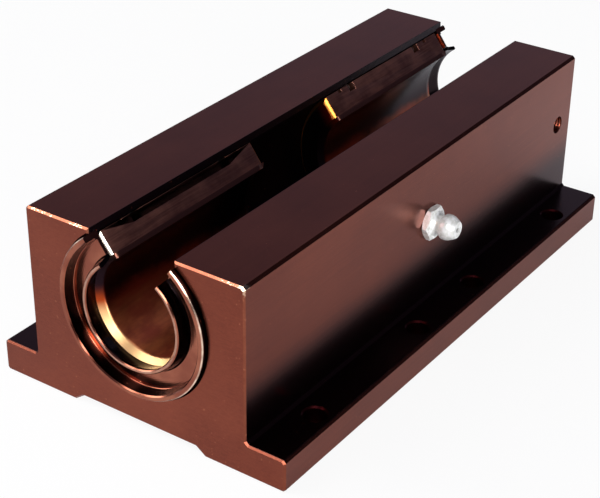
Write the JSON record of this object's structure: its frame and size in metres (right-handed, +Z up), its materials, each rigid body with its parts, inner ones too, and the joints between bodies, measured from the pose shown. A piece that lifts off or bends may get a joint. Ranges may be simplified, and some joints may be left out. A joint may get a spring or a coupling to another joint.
{
  "type": "linear bearing block",
  "caption": "Twin open linear bearing block with flanged base, slotted top, plain-lined bearings, end seals and a side grease fitting.",
  "frame": {"origin": "centre of the base's underside", "axes": "+Z up through the slot, +Y along the shaft, +X towards the grease fitting"},
  "size_m": [0.0826, 0.1554, 0.0483],
  "materials": {
    "housing": "satin brown anodised, machined ends",
    "bearing_shell": "brown anodised",
    "bearing_liner": "bronze-gold plain bearing liner",
    "o_ring": "black nitrile",
    "seal_case": "polished dark brown",
    "seal_lip": "smooth brown",
    "fitting": "bright zinc plate",
    "ball": "polished steel",
    "spring": "spring wire",
    "screw": "black oxide"
  },
  "bodies": {
    "block": {"housing": "housing", "grease_fitting": "fitting", "grease_check_spring": "spring", "front_outer_o_ring": "o_ring", "front_inner_o_ring": "o_ring", "front_seal_case": "seal_case", "front_seal_lip": "seal_lip", "front_retention_screw": "screw", "rear_outer_o_ring": "o_ring", "rear_inner_o_ring": "o_ring", "rear_seal_case": "seal_case", "rear_seal_lip": "seal_lip", "rear_retention_screw": "screw"},
    "front_bearing": {"front_bearing_shell": "bearing_shell", "front_bearing_liner": "bearing_liner"},
    "rear_bearing": {"rear_bearing_shell": "bearing_shell", "rear_bearing_liner": "bearing_liner"},
    "check_ball": {"grease_check_ball": "ball"}
  },
  "joints": [
    {"name": "front_alignment", "type": "hinge", "parent": "block", "child": "front_bearing", "pos_m": [0, -0.04445, 0.03016], "axis": [1, 0, 0], "range_deg": [-0.5, 0.5], "stiffness_Nm_per_rad": 5},
    {"name": "rear_alignment", "type": "hinge", "parent": "block", "child": "rear_bearing", "pos_m": [0, 0.04445, 0.03016], "axis": [1, 0, 0], "range_deg": [-0.5, 0.5], "stiffness_Nm_per_rad": 5},
    {"name": "check_ball_lift", "type": "slide", "parent": "block", "child": "check_ball", "axis": [-1, 0, 0], "range_m": [0, 0.0008], "stiffness_N_per_m": 50, "springref_m": -0.002, "deforming": ["grease_check_spring"]}
  ]
}
